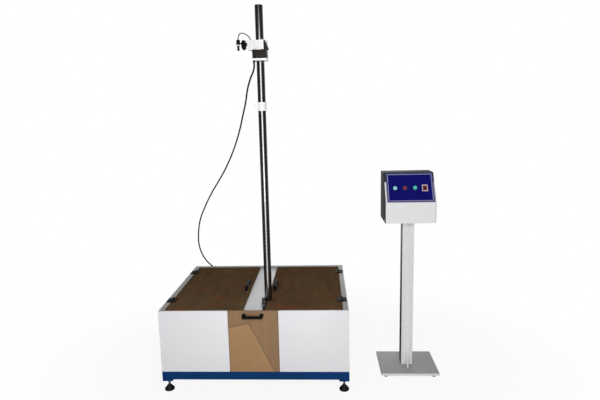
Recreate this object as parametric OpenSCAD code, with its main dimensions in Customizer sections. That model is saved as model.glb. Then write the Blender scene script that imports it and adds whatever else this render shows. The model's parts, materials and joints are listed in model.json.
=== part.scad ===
// Ball drop impact tester: a low cabinet with two lids, a tall column with a magnet
// carriage and a stop collar, and a separate control stand with a sloped console.
// X runs to the right, Y to the back and Z up. Sizes are in millimetres.
// Inside the modules, X is counted from the cabinet's middle, Y from its front face
// and Z from the floor. The module place() then moves all to the part's own origin.

/* [Cabinet] */
// Outside width of the cabinet
cab_w = 1000; // [900:10:1200]
// Outside depth of the cabinet
cab_d = 800; // [740:10:1000]
// Height of the cabinet's top edge above the floor
cab_top = 455; // [430:5:600]
// Side of the square rails of the base frame
rail = 45; // [35:1:50]
// Wall of the base frame's rails
rail_wall = 3; // [2:0.5:5]
// Height of the foot plates' underside above the floor
foot_h = 60; // [50:1:70]
// Thickness of the foot plates under the corners
foot_plate_t = 10; // [6:1:14]
// Thickness of the white panels
panel_t = 5; // [3:0.5:6]
// Side of the square tubes of the inner frame
tube = 25; // [20:1:30]
// Wall of the inner frame's tubes
tube_wall = 2; // [1.5:0.5:3]
// Height of the grey rim around the lids
rim_h = 20; // [16:1:24]

/* [Lids] */
// Thickness of a lid
lid_t = 10; // [6:1:12]
// Half of the gap between the lids, from the middle to a lid's inner edge
lid_gap = 58; // [54:1:62]
// Side gap between a lid and the rim
lid_side_gap = 1.5; // [1:0.5:3]
// Thickness of the fixed strip between the lids
strip_t = 10; // [6:1:12]
// Length of a hinge along the lid's edge
hinge_l = 60; // [50:5:80]
// Distance of the hinges from the front and the back of the cabinet
hinge_inset = 155; // [120:5:200]
// Width of one hinge leaf
leaf_w = 25; // [18:1:25]
// Radius of a hinge knuckle
knuckle_r = 5; // [4:0.5:6]
// Diameter of a hinge pin
hinge_pin_d = 5; // [3:0.5:6]
// Length of a lid handle's grip
lid_grip_l = 140; // [100:5:180]
// Width of a lid handle's grip
lid_grip_w = 16; // [10:1:18]
// Height of a lid handle above the lid
lid_grip_h = 28; // [24:1:32]

/* [Sliding front panel] */
// Width of the opening between the two front panels
door_w = 266; // [220:2:300]
// Gap at each side of the sliding panel's face
door_gap = 3.5; // [2:0.5:5]
// Thickness of the tongue that runs in the channels
tongue_t = 4; // [3:0.5:5]
// Length of the front handle's grip
grip_l = 109; // [90:1:140]
// Distance that the front handle stands out
grip_out = 35; // [28:1:45]

/* [Column] */
// Outside diameter of the column
column_d = 40; // [36:1:44]
// Wall of the column
column_wall = 3; // [2:0.5:5]
// Height of the column's top above the floor
column_top = 2002; // [1900:2:2100]
// Distance of the column to the right of the cabinet's middle
column_x = 65; // [60:1:70]
// Distance of the column behind the cabinet's front
column_y = 170; // [150:5:200]
// Length of the socket under the strip
socket_l = 150; // [100:5:160]

/* [Carriage] */
// Height of the slider plate's underside above the floor
slider_z = 1730; // [1600:10:1780]
// Side of the square slider plate
slider_w = 74; // [70:1:84]
// Thickness of the slider plate
slider_t = 10; // [8:1:14]
// Height of the slider block on the plate
slider_block_h = 42; // [30:1:45]
// Wall of the bush in the slider
bush_wall = 4; // [3:0.5:6]
// Length of the head block along the arm
head_l = 88; // [80:1:90]
// Depth of the head block across the arm
head_w = 58; // [58:1:70]
// Height of the head block
head_h = 47; // [40:1:50]
// Diameter of the clamp knob
knob_d = 50; // [40:1:52]
// Thickness of the clamp knob
knob_t = 10; // [8:1:14]
// Diameter of the arm rod
arm_d = 6; // [5:0.5:8]
// Length of the arm rod's seat in the head block
arm_seat = 34; // [25:1:34]
// Distance of the magnet from the column's axis
magnet_reach = 130; // [126:1:150]
// Diameter of the magnet's body
magnet_d = 20; // [18:1:26]
// Height of the magnet's body
magnet_h = 23; // [20:1:26]
// Diameter of the magnet's pole
pole_d = 12; // [8:1:14]
// Length of the magnet's pole
pole_l = 25; // [15:1:27]

/* [Stop collar] */
// Height of the collar's underside above the floor
collar_z = 1479; // [1300:1:1520]
// Height of the collar
collar_h = 44; // [36:1:50]
// Wall of the collar's ring
collar_wall = 5; // [4:0.5:8]
// Reach of the collar's ear from the column's axis
ear_l = 41; // [39:1:50]
// Diameter of the thumb screw's head
thumb_d = 16; // [12:1:18]

/* [Impact stage] */
// Side of the square impact plate
stage_w = 240; // [230:5:260]
// Thickness of the impact plate
stage_t = 20; // [16:1:30]
// Outside of the square specimen frame
specimen_w = 220; // [200:5:224]
// Width of the bars of the specimen frame
specimen_bar = 30; // [24:1:36]
// Height of the posts under the specimen frame
post_h = 60; // [40:5:70]
// Diameter of the steel ball
ball_d = 38; // [30:1:50]

/* [Control stand] */
// Distance of the stand's middle to the right of the cabinet's middle
stand_x = 846; // [820:1:880]
// Distance of the stand's middle behind the cabinet's front
stand_y = 284; // [260:1:300]
// Width of the stand's base plate
base_w = 320; // [290:5:360]
// Depth of the stand's base plate
base_d = 266; // [240:2:300]
// Thickness of the stand's base plate
base_t = 13; // [8:1:16]
// Height of the rubber feet
rubber_h = 13; // [8:1:16]
// Side of the square post
post_w = 64; // [50:1:70]
// Height of the console's underside above the floor
console_z = 868; // [800:2:920]
// Width of the console
console_w = 270; // [262:2:300]
// Depth of the console
console_d = 210; // [200:5:240]
// Height of the console's upright front
console_front_h = 112; // [90:2:130]
// Height of the console at its back
console_h = 265; // [230:5:300]
// Depth of the console's slope
slope_d = 92; // [80:2:110]
// Thickness of the console's sheet
sheet = 2; // [1:0.5:3]
// Diameter of a push button's cap
cap_d = 21; // [18:0.5:24]
// Distance between the controls
control_pitch = 53; // [50:1:56]

/* [Hidden] */
$fn = 64;
// Clearances: pins and bores, flat faces of different bodies, solids of one node
run = 0.06;
seat = 0.3;
split = 0.2;

// Cabinet levels and edges
rail_z = foot_h + foot_plate_t;
deck_z = rail_z + rail;
pan_t = 2;
stage_z = deck_z + pan_t;
frame_top = cab_top - rim_h;
tube_z = frame_top - tube;
half_w = cab_w/2;
foot_inset = 27;
foot_plate_w = 54;
stud_d = 12;
stud_top = deck_z - rail_wall - 10;
nut_d = 20;
nut_h = 8;
pad_d = 52;
pad_h = 30;

// Lids and the strip between them
lid_z = frame_top + strip_t + seat;
lid_top = lid_z + lid_t;
inner_x = half_w - panel_t - tube;
lid_front = panel_t + 1.5 + tongue_t;
lid_back = cab_d - panel_t - tube - 5.5;
lid_shift = 4;
left_edge = -lid_gap + lid_shift;
right_edge = lid_gap + lid_shift;
strip_lap = 26;
strip_left = left_edge - strip_lap;
strip_right = column_x + column_d/2 + 47;
notch_r = column_d/2 + 5;
pin_z = cab_top + knuckle_r + seat;
leaf_t = 3;
knuckle_l = hinge_l/3;
seal_w = 16;
seal_inset = 2.5;
seal_spans = [[-inner_x + 2, strip_left - 2], [strip_right + 2, inner_x - 2]];
ledge_w = 25;
ledge_t = 4;

// Sliding panel and its channels
door_x = door_w/2;
door_post_x = door_x + 17;
tongue_x = door_x + 5;
channel_lip = 3;
grip_r = 8;
grip_leg_r = 7;
grip_boss_r = 10;
grip_boss_l = 8;
grip_z = cab_top - 26;

// Column, socket and foot bracket
column_r = column_d/2;
socket_r = column_r + 10;
socket_floor = 5;
flange_t = 10;
flange_w = 84;
bolt_d = 8;
set_screw_drops = [50, 110];
column_bottom = frame_top - socket_l + socket_floor;

// Carriage levels
block_z = slider_z + slider_t;
slider_top = block_z + slider_block_h;
washer_t = 1.7;
head_z = slider_top + washer_t + seat;
head_turn = -15;
bush_r = column_r + run + bush_wall;
head_right = 30;
head_front = 27;
side_plate_t = 6;
side_plate_low = 10;
knob_y = -6;
knob_z = head_z + head_h - 18;
knob_x = -81;
clamp_d = 8;
arm_y = knob_y + knob_d/2 + arm_d/2 + 1;
arm_z = head_z + head_h - 1.5 - arm_d/2;
arm_end = head_right - head_l + arm_seat;
pole_ring_h = 5;
magnet_drop = 10;
body_z = head_z + head_h - magnet_drop;
body_top = body_z + magnet_h;
boss_h = 4;
boss_r = 6;
cable_exit = [-29, -29];
cable_gland_l = 14;

// Stop collar
collar_r = column_r + run + collar_wall;
groove_z = 8.5;
groove_h = 3.5;
groove_t = 3;
ear_w = 30;
slit = 3;
thumb_x = -ear_l + 8;
thumb_z = 9;
thumb_screw_d = 6;

// Specimen stage, right under the magnet's place when the arm points to the right
stage_x = column_x + magnet_reach - 12;
stage_y = column_y;
specimen_t = 12;
pad_t = 3;
clamp_t = 12;
guide_d = 8;
guide_h = 45;
pillar_d = 16;
rest_offset = 50;
rest_r = ball_d*0.3;

// Console, drawn as a side view with Y and Z and pushed along X
console_y = stand_y - 94;
console_x = stand_x - 4;
post_x = console_x;
post_wall = 3;
post_plate_w = post_w + 60;
post_plate_t = 3;
base_y = stand_y - 8;
base_top = rubber_h + base_t;
fold_z = console_z + console_front_h;
back_z = console_z + console_h;
slope_a = atan2(back_z - fold_z, slope_d);
slope_l = norm([back_z - fold_z, slope_d]);
blue_t = 1.5;
blue_left = 11;
blue_right = 6;
control_shift = 1;
control_up = slope_l*0.47;
barrel_d = 18;
bezel_w = 4;
button_travel = 3;
bezel_h = 3.5;
cap_floor = blue_t + 0.8;
stem_d = 8;
web_z = -5;
rocker_w = 22;
rocker_h = 28;
rocker_tilt = 9;
rocker_gap = 1.5;
pivot_d = 3;
frame_w = 30;
frame_h = 37;
ferrule_l = 22;
ferrule_r = 6;
ferrule_up = console_z + 30;

// The gland on the rear panel where the cable goes in
gland_x = -250;
gland_z = 300;
gland_l = 35;
gland_r = 8;

// The part's origin: the middle of its footprint, on the floor
left_end = -half_w;
right_end = stand_x + base_w/2;
front_end = -grip_out;
back_end = cab_d + gland_l;
origin_x = (left_end + right_end)/2;
origin_y = (front_end + back_end)/2;

// The magnet cable's route, from the slider's gland to the gland on the rear panel
cable_d = 9;
cable_route = [
    [36, 141, 1716], [36, 141, 1703], [33.5, 142.5, 1688], [26.5, 147.5, 1670],
    [9, 168, 1640], [-15, 222, 1592], [-40, 305, 1528], [-70, 372, 1455], [-100, 440, 1383],
    [-136, 510, 1308], [-176, 575, 1235], [-217, 630, 1167], [-261, 680, 1101],
    [-308, 725, 1037], [-356, 762, 970], [-413, 796, 875], [-460, 816, 771],
    [-481, 830, 656], [-477, 841, 567], [-446, 852, 488], [-396, 863, 430],
    [-348, 878, 390], [-314, 891, 360], [-288, 899, 336], [-268, 895, 317],
    [-255, 880, 305], [-250, 860, 300], [-250, 835, 300]
];
// The short lead from the magnet to the head block, in the head's own place
lead_d = 5;
lead_route = [
    [0, 0, 0], [1.1, -0.4, 10.5], [6.1, -2.1, 20.5], [14.6, -5.1, 27],
    [25.5, -8.8, 28.5], [37.8, -13, 25.5], [51, -17.6, 19], [63.3, -21.8, 11.5],
    [72.8, -25.1, 3.5], [79.4, -27.4, -6], [82.7, -28.5, -17]
];

// Colours as the photograph shows them
white_paint = [0.86, 0.86, 0.87];
blue_paint = [0.05, 0.19, 0.40];
grey_paint = [0.56, 0.55, 0.53];
light_grey = [0.78, 0.78, 0.80];
steel = [0.62, 0.63, 0.65];
bright = [0.86, 0.86, 0.88];
dark = [0.13, 0.14, 0.14];
black = [0.05, 0.05, 0.05];
kraft = [0.65, 0.51, 0.36];
brown = [0.30, 0.25, 0.20];
charcoal = [0.25, 0.26, 0.25];

// Shared shapes
module place() {
    translate([-origin_x, -origin_y, 0]) children();
}

// A box from its lowest to its highest corner
module block(a, b) {
    translate(a) cube(b - a);
}

// The same shape at the left and at the right
module both_sides() {
    children();
    mirror([1, 0, 0]) children();
}

// A round bar along an axis, from a point
module bar(p, axis, l, r) {
    turn = axis == "x" ? [0, 90, 0] : axis == "y" ? [-90, 0, 0] : [0, 0, 0];
    translate(p) rotate(turn) cylinder(h = l, r = r);
}

// A rail between two corners, open along its underside so that it is hollow
module channel_bar(a, b, wall) {
    difference() {
        block(a, b);
        block(a + [wall, wall, -1], b - [wall, wall, wall]);
    }
}

// A tube between two corners, open at both ends of the axis named
module square_tube(a, b, wall, axis) {
    over = [for (i = [0:2]) i == axis ? -1 : wall];
    difference() {
        block(a, b);
        block(a + over, b - over);
    }
}

// Rings of a round cord along a smooth line through its points
function smooth(p, i, t) =
    let (
        b = p[i],
        c = p[i + 1],
        a = i == 0 ? 2*b - c : p[i - 1],
        d = i == len(p) - 2 ? 2*c - b : p[i + 2]
    )
    0.5*(2*b + (c - a)*t + (2*a - 5*b + 4*c - d)*t*t + (3*b - a - 3*c + d)*t*t*t);
function unit(v) = v/norm(v);
function cord_line(p, per) = concat(
    [for (i = [0:len(p) - 2], k = [0:per - 1]) smooth(p, i, k/per)], [p[len(p) - 1]]);
function heading(line, i) =
    unit(line[min(i + 1, len(line) - 1)] - line[max(i - 1, 0)]);

module cord(p, r, per, sides, ends) {
    line = cord_line(p, per);
    n = len(line);
    rings = [for (i = [0:n - 1])
        let (
            t = i == 0 ? ends[0] : i == n - 1 ? ends[1] : heading(line, i),
            u = unit(cross(t, [1, 0.001, 0])),
            v = cross(t, u)
        )
        for (k = [0:sides - 1])
            line[i] + r*(cos(360*k/sides)*u + sin(360*k/sides)*v)];
    walls = [for (i = [0:n - 2], k = [0:sides - 1])
        let (a = i*sides, b = (k + 1)%sides)
        [a + b, a + k, a + sides + k, a + sides + b]];
    caps = [
        [for (k = [0:sides - 1]) k],
        [for (k = [sides - 1:-1:0]) (n - 1)*sides + k]
    ];
    polyhedron(rings, concat(walls, caps), convexity = 6);
}

// Cabinet
module base_frame() {
    color(blue_paint) {
        for (y = [0, cab_d - rail])
            channel_bar([-half_w, y, rail_z], [half_w, y + rail, deck_z], rail_wall);
        for (x = [-half_w, half_w - rail])
            channel_bar([x, rail + split, rail_z],
                [x + rail, cab_d - rail - split, deck_z], rail_wall);
        for (x = [-0.15*cab_w, 0.15*cab_w])
            channel_bar([x - rail/2, rail + split, rail_z],
                [x + rail/2, cab_d - rail - split, deck_z], rail_wall);
        for (x = [-1, 1], y = [0, 1])
            foot_plate(x, y);
    }
}

// A plate under one corner, drilled for the foot's stud, x and y pick the corner
module foot_plate(x, y) {
    cx = x*(half_w - foot_plate_w/2);
    cy = y == 0 ? foot_plate_w/2 : cab_d - foot_plate_w/2;
    difference() {
        translate([cx, cy, foot_h + (foot_plate_t - split)/2])
            cube([foot_plate_w, foot_plate_w, foot_plate_t - split], center = true);
        translate([x*(half_w - foot_inset), foot_y(y), foot_h - 1])
            cylinder(h = foot_plate_t + 2, d = stud_d + 2*run);
    }
}

function foot_y(y) = y == 0 ? foot_inset : cab_d - foot_inset;

// A levelling foot: a moulded pad, a threaded stud and a lock nut under the foot plate
module levelling_foot(x, y) {
    nut_z = foot_h - split - nut_h;
    neck = stud_d/2 + 2;
    place() translate([x*(half_w - foot_inset), foot_y(y), 0]) {
        color(black) rotate_extrude()
            polygon([[0, 0], [pad_d/2 - 1, 0], [pad_d/2, 1], [pad_d/2, 8],
                [pad_d/2 - 5, 13], [neck + 3, pad_h - 4], [neck, pad_h], [0, pad_h]]);
        color(steel) {
            translate([0, 0, pad_h + split])
                cylinder(h = stud_top - pad_h - split, d = stud_d);
            translate([0, 0, nut_z]) difference() {
                cylinder(h = nut_h, d = nut_d, $fn = 6);
                translate([0, 0, -1]) cylinder(h = nut_h + 2, d = stud_d + 2*run);
            }
        }
    }
}

module floor_pan() {
    color(light_grey)
        block([-inner_x + 1, panel_t + tube + 1, deck_z],
            [inner_x - 1, cab_d - panel_t - tube - 1, stage_z]);
}

module inner_frame() {
    lo = panel_t;
    hi = cab_d - panel_t;
    color(dark) {
        both_sides() {
            for (y = [lo, hi - tube])
                square_tube([inner_x, y, deck_z],
                    [inner_x + tube, y + tube, frame_top], tube_wall, 2);
            square_tube([inner_x, lo + tube + split, tube_z],
                [inner_x + tube, hi - tube - split, frame_top], tube_wall, 1);
            square_tube([door_post_x, lo, deck_z],
                [door_post_x + tube, lo + tube, frame_top], tube_wall, 2);
            square_tube([door_post_x + tube + split, lo, tube_z],
                [inner_x - split, lo + tube, frame_top], tube_wall, 0);
            door_channel();
        }
        square_tube([-door_post_x + split, lo + 11, tube_z],
            [door_post_x - split, lo + 11 + tube, frame_top], tube_wall, 0);
        square_tube([-inner_x + split, hi - tube, tube_z],
            [inner_x - split, hi, frame_top], tube_wall, 0);
        for (x = [strip_left, strip_right - tube])
            square_tube([x, lo + 11 + tube + split, tube_z],
                [x + tube, hi - tube - split, frame_top], tube_wall, 1);
        for (s = seal_spans)
            block([s[0], hi - tube - ledge_w, frame_top - ledge_t],
                [s[1], hi - tube - split, frame_top]);
    }
}

// The right-hand channel in which the sliding panel's tongue runs
module door_channel() {
    back = panel_t + seat + tongue_t + seat;
    block([tongue_x + 1, panel_t, deck_z], [door_post_x - split, back, frame_top]);
    block([door_x, back, deck_z], [door_post_x - split, back + channel_lip, frame_top]);
}

module front_panels() {
    color(white_paint) both_sides()
        block([door_x, 0, deck_z], [half_w, panel_t, cab_top]);
}

module side_panels() {
    color(white_paint) both_sides()
        block([half_w - panel_t, panel_t, deck_z],
            [half_w, cab_d - panel_t, cab_top]);
}

module rear_panel() {
    color(white_paint) difference() {
        block([-half_w, cab_d - panel_t, deck_z], [half_w, cab_d, cab_top]);
        bar([gland_x, cab_d - panel_t - 1, gland_z], "y", panel_t + 2, gland_r + run);
    }
}

module top_rim() {
    seam = 0.3;
    x2 = half_w - panel_t - seam;
    color(grey_paint) {
        both_sides()
            channel_bar([inner_x, panel_t + split, frame_top + split],
                [x2, cab_d - panel_t - seam, cab_top], tube_wall);
        both_sides()
            block([tongue_x + 1, panel_t + split, frame_top + split],
                [inner_x - split, lid_front - 1, cab_top]);
        channel_bar([-inner_x + split, cab_d - panel_t - tube, frame_top + split],
            [inner_x - split, cab_d - panel_t - seam, cab_top], tube_wall);
    }
}

module lid_seals() {
    front = lid_front + seal_inset;
    back = lid_back - seal_inset;
    color(black)
        for (s = seal_spans) {
            block([s[0], front, frame_top], [s[1], front + seal_w, lid_z - seat]);
            block([s[0], back - seal_w, frame_top], [s[1], back, lid_z - seat]);
        }
}

module centre_strip() {
    color(light_grey) difference() {
        block([strip_left, lid_front, frame_top],
            [strip_right, cab_d - panel_t - tube - seat, frame_top + strip_t]);
        translate([column_x, column_y, frame_top - 1])
            cylinder(h = strip_t + 2, r = column_r + run);
        for (p = flange_holes())
            translate([p[0], p[1], frame_top - 1]) cylinder(h = 9, d = bolt_d + 2*run);
    }
}

function flange_holes() =
    [for (i = [-1, 1], j = [-1, 1])
        [column_x + i*(flange_w/2 - 9), column_y + j*(flange_w/2 - 9)]];

module column_socket() {
    color(steel) difference() {
        union() {
            translate([column_x - flange_w/2, column_y - flange_w/2, frame_top - flange_t])
                cube([flange_w, flange_w, flange_t]);
            translate([column_x, column_y, frame_top - socket_l])
                cylinder(h = socket_l, r = socket_r);
        }
        translate([column_x, column_y, column_bottom])
            cylinder(h = socket_l, r = column_r + run);
        for (p = flange_holes())
            translate([p[0], p[1], frame_top - flange_t - 1])
                cylinder(h = flange_t + 2, d = bolt_d + 2*run);
        for (z = set_screw_drops)
            bar([column_x, column_y - socket_r - 1, frame_top - z], "y", socket_r,
                bolt_d/2 + run);
    }
}

module socket_bolts() {
    color(steel) {
        for (p = flange_holes())
            translate([p[0], p[1], frame_top - flange_t]) {
                cylinder(h = flange_t + 7, d = bolt_d);
                translate([0, 0, -5]) cylinder(h = 5, d = 13, $fn = 6);
            }
        for (z = set_screw_drops)
            bar([column_x, column_y - socket_r - 3, frame_top - z], "y",
                socket_r - column_r + 3 - run, bolt_d/2);
    }
}

module column() {
    color(black) translate([column_x, column_y, column_bottom]) difference() {
        cylinder(h = column_top - column_bottom, r = column_r);
        translate([0, 0, -1])
            cylinder(h = column_top - column_bottom - 7, r = column_r - column_wall);
    }
}

// A low black bracket on the strip, in front of the column, with a tapered toe
module column_toe() {
    x2 = right_edge - 3;
    color(dark) translate([0, 0, frame_top + strip_t]) difference() {
        linear_extrude(height = lid_t)
            polygon([[column_x - 37, column_y + 22], [column_x - 36, column_y - 5],
                [x2 - 9, lid_front + 3], [x2, lid_front + 3], [x2, column_y + 22]]);
        translate([column_x, column_y, -1]) cylinder(h = lid_t + 2, r = column_r + run);
        for (y = [column_y - 40, column_y - 90])
            translate([x2 - 9, y, lid_t - 4]) cylinder(h = 5, d = 8);
    }
}

// One hinge at the right: s = 0 for the fixed leaf and its pin, 1 for the moving leaf
module hinge(s) {
    y0 = -hinge_l/2;
    leaf_z = s == 0 ? cab_top : lid_top;
    side = s == 0 ? 1 : -1;
    near = knuckle_r + 0.5;
    spans = s == 0 ? [0, 2] : [1];
    difference() {
        union() {
            translate([inner_x, 0, leaf_z + leaf_t/2])
                translate([side*(leaf_w + near)/2, 0, 0])
                    cube([leaf_w - near, hinge_l, leaf_t], center = true);
            for (k = spans) {
                bar([inner_x, y0 + k*knuckle_l + split, pin_z], "y",
                    knuckle_l - 2*split, knuckle_r);
                block([inner_x + (s == 0 ? 0 : -near - 1), y0 + k*knuckle_l + split, leaf_z],
                    [inner_x + (s == 0 ? near + 1 : 0), y0 + (k + 1)*knuckle_l - split,
                        leaf_z + leaf_t]);
            }
            if (s == 0)
                bar([inner_x, y0, pin_z], "y", hinge_l, hinge_pin_d/2);
        }
        if (s == 1)
            bar([inner_x, y0, pin_z], "y", hinge_l, hinge_pin_d/2 + run);
        for (y = [-1, 1])
            translate([inner_x + side*(leaf_w - 7), y*(hinge_l/2 - 10), leaf_z - 1])
                cylinder(h = leaf_t + 2, d = 4.5);
    }
}

module hinge_places() {
    for (y = [hinge_inset, cab_d - hinge_inset + 10])
        translate([0, y, 0]) children();
}

module hinge_leaves_fixed() {
    color(black) both_sides() hinge_places() hinge(0);
}

module hinge_leaves_right() {
    color(black) hinge_places() hinge(1);
}

module hinge_leaves_left() {
    color(black) mirror([1, 0, 0]) hinge_places() hinge(1);
}

module lid_left() {
    color(brown)
        block([-inner_x + lid_side_gap, lid_front, lid_z], [left_edge, lid_back, lid_top]);
}

module lid_right() {
    color(brown) difference() {
        block([right_edge, lid_front, lid_z],
            [inner_x - lid_side_gap, lid_back, lid_top]);
        translate([column_x, column_y, lid_z - 1]) cylinder(h = lid_t + 2, r = notch_r);
    }
}

// A bridge handle that stands up from the lid, drawn from its side and given a width
module lid_handle(x) {
    round_r = 8;
    leg = 13;
    grip_t = 11;
    color(black) translate([x - lid_grip_w/2, cab_d/2 - 30, lid_top]) rotate([90, 0, 90])
        linear_extrude(height = lid_grip_w) difference() {
            offset(r = round_r) offset(delta = -round_r)
                translate([-lid_grip_l/2, -lid_grip_h])
                    square([lid_grip_l, 2*lid_grip_h]);
            offset(r = round_r/2) offset(delta = -round_r/2)
                translate([-lid_grip_l/2 + leg, -lid_grip_h])
                    square([lid_grip_l - 2*leg, 2*lid_grip_h - grip_t]);
            translate([-lid_grip_l, -2*lid_grip_h])
                square([2*lid_grip_l, 2*lid_grip_h]);
        }
}

module lid_handle_left() {
    lid_handle(left_edge - 24);
}

module lid_handle_right() {
    lid_handle(right_edge + 26);
}

// Sliding front panel: a face in the opening and a tongue behind it
module slide_panel() {
    face_x = door_x - door_gap;
    color(kraft) {
        block([-face_x, 0, deck_z + seat], [face_x, panel_t + 1, cab_top]);
        block([-tongue_x, panel_t + seat, deck_z + seat],
            [tongue_x, panel_t + seat + tongue_t, cab_top]);
    }
}

// A round bar between two legs, each on a boss that stands on the panel's face
module panel_handle() {
    out = grip_out - grip_r;
    leg_x = grip_l/2 - grip_r;
    color(black) {
        for (s = [-1, 1]) {
            bar([s*leg_x, -out, grip_z], "y", out, grip_leg_r);
            bar([s*leg_x, -grip_boss_l, grip_z + 2], "y", grip_boss_l, grip_boss_r);
            translate([s*leg_x, -out, grip_z]) sphere(r = grip_r);
        }
        bar([-leg_x, -out, grip_z], "x", 2*leg_x, grip_r);
    }
}

// Impact stage inside the cabinet
module impact_plate() {
    color(steel) difference() {
        block([stage_x - stage_w/2, stage_y - stage_w/2, stage_z],
            [stage_x + stage_w/2, stage_y + stage_w/2, stage_z + stage_t]);
        translate(ball_rest()) translate([0, 0, -ball_d/4])
            cylinder(h = ball_d, r = rest_r);
    }
}

// The ball's rest in the plate's top, beside the point of impact
function ball_rest() = [stage_x - rest_offset, stage_y + rest_offset, stage_z + stage_t];
function specimen_z() = stage_z + stage_t + post_h + split;

module specimen_support() {
    s = specimen_w/2;
    b = specimen_bar;
    z = specimen_z();
    color(steel) translate([stage_x, stage_y, 0]) {
        for (i = [-1, 1], j = [-1, 1]) {
            translate([i*(s - b/2), j*(s - b/2), stage_z + stage_t])
                cylinder(h = post_h, d = pillar_d);
            translate([i*(s - b/2), j*(s - b/2), z + specimen_t + split])
                cylinder(h = guide_h, d = guide_d);
        }
        for (y = [-s, s - b])
            block([-s, y, z], [s, y + b, z + specimen_t]);
        for (x = [-s, s - b])
            block([x, -s + b + split, z], [x + b, s - b - split, z + specimen_t]);
    }
}

module support_rubber() {
    s = specimen_w/2;
    b = specimen_bar;
    z = specimen_z() + specimen_t;
    color(black) translate([stage_x, stage_y, 0]) {
        for (y = [-s, s - b])
            block([-s + b + 2, y, z], [s - b - 2, y + b, z + pad_t]);
        for (x = [-s, s - b])
            block([x, -s + b + 2, z], [x + b, s - b - 2, z + pad_t]);
    }
}

module clamp_frame() {
    s = specimen_w/2;
    b = specimen_bar;
    z = specimen_z() + specimen_t + pad_t + seat;
    color(blue_paint) translate([stage_x, stage_y, z]) difference() {
        block([-s, -s, 0], [s, s, clamp_t]);
        block([-s + b, -s + b, -1], [s - b, s - b, clamp_t + 1]);
        for (i = [-1, 1], j = [-1, 1])
            translate([i*(s - b/2), j*(s - b/2), -1])
                cylinder(h = clamp_t + 2, d = guide_d + 2*run);
    }
}

module steel_ball() {
    lift = sqrt(pow(ball_d/2, 2) - pow(rest_r, 2));
    color(bright) translate(ball_rest() + [0, 0, lift + seat]) sphere(d = ball_d);
}

module rear_gland() {
    color(black) difference() {
        union() {
            bar([gland_x, cab_d - panel_t - 8, gland_z], "y", panel_t + 8, gland_r);
            bar([gland_x, cab_d, gland_z], "y", 8, gland_r + 4);
            translate([gland_x, cab_d + 8, gland_z]) rotate([-90, 0, 0])
                cylinder(h = gland_l - 8, r1 = gland_r + 3, r2 = gland_r - 2);
            translate([gland_x, cab_d - panel_t - 6, gland_z]) rotate([-90, 0, 0])
                cylinder(h = 6, d = 26, $fn = 6);
        }
        bar([gland_x, cab_d - panel_t - 9, gland_z], "y", panel_t + 12, cable_d/2);
    }
}

// Carriage on the column: the slider and its bush
module at_column(z) {
    translate([column_x, column_y, z]) children();
}

module slider_plate() {
    color(bright) at_column(slider_z) difference() {
        translate([-slider_w/2, -slider_w/2, 0]) cube([slider_w, slider_w, slider_t]);
        translate([0, 0, -1]) cylinder(h = slider_t + 2, r = bush_r + run);
    }
}

module slider_block() {
    w = slider_w - 2;
    color(dark) at_column(block_z) difference() {
        translate([-w/2, -w/2, 0]) cube([w, w, slider_block_h]);
        translate([0, 0, -1]) cylinder(h = slider_block_h + 2, r = bush_r + run);
    }
}

module slider_bush() {
    color(white_paint) at_column(slider_z) difference() {
        union() {
            cylinder(h = slider_top - slider_z, r = bush_r);
            translate([0, 0, slider_top - slider_z]) cylinder(h = washer_t, r = bush_r + 5);
        }
        translate([0, 0, -1])
            cylinder(h = slider_top - slider_z + washer_t + 2, r = column_r + run);
    }
}

module slider_gland() {
    color(black) at_column(slider_z)
        translate([cable_exit[0], cable_exit[1], -cable_gland_l])
            cylinder(h = cable_gland_l, r1 = 5, r2 = 6.5);
}

// The swivelling head, drawn with its arm along -X and then turned
module on_head() {
    at_column(0) rotate([0, 0, head_turn]) children();
}

module head_block() {
    color(bright) on_head() difference() {
        block([head_right - head_l, -head_front, head_z],
            [head_right, head_w - head_front, head_z + head_h]);
        translate([0, 0, head_z - 1]) cylinder(h = head_h + 2, r = column_r + run);
        bar([head_right - head_l - 1, knob_y, knob_z], "x", head_l - head_right - 10,
            clamp_d/2 + run);
        bar([head_right - head_l - 1, arm_y, arm_z], "x", arm_seat + 1 + split,
            arm_d/2 + run);
    }
}

// A plate on the head's right face, cut to a slope that falls to the back
module head_side_plate() {
    color(dark) on_head() translate([head_right, 0, head_z]) rotate([90, 0, 90])
        linear_extrude(height = side_plate_t)
            polygon([[-head_front, 0], [head_w - head_front, 0],
                [head_w - head_front, side_plate_low], [-head_front, head_h - 1]]);
}

module arm_rod() {
    x1 = -magnet_reach + 5;
    color(dark) on_head()
        bar([x1, arm_y, arm_z], "x", arm_end - x1, arm_d/2);
}

module magnet_body() {
    color(black) on_head() difference() {
        translate([-magnet_reach, arm_y, 0]) {
            translate([0, 0, body_z]) cylinder(h = magnet_h, d = magnet_d);
            translate([0, 0, body_top]) cylinder(h = boss_h, r1 = boss_r, r2 = boss_r - 2);
        }
        bar([-magnet_reach + 5 - split, arm_y, arm_z], "x", magnet_d, arm_d/2 + run);
    }
}

module magnet_pole() {
    color(steel) on_head() translate([-magnet_reach, arm_y, 0]) {
        translate([0, 0, body_z - pole_ring_h])
            cylinder(h = pole_ring_h, d = magnet_d + 1);
        translate([0, 0, body_z - pole_ring_h - pole_l])
            cylinder(h = pole_l, d = pole_d);
    }
}

module magnet_lead() {
    color(black) on_head()
        translate([-magnet_reach, arm_y, body_top + boss_h])
            cord(lead_route, lead_d/2, 3, 8, [[0, 0, 1], [0, 0, -1]]);
}

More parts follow.
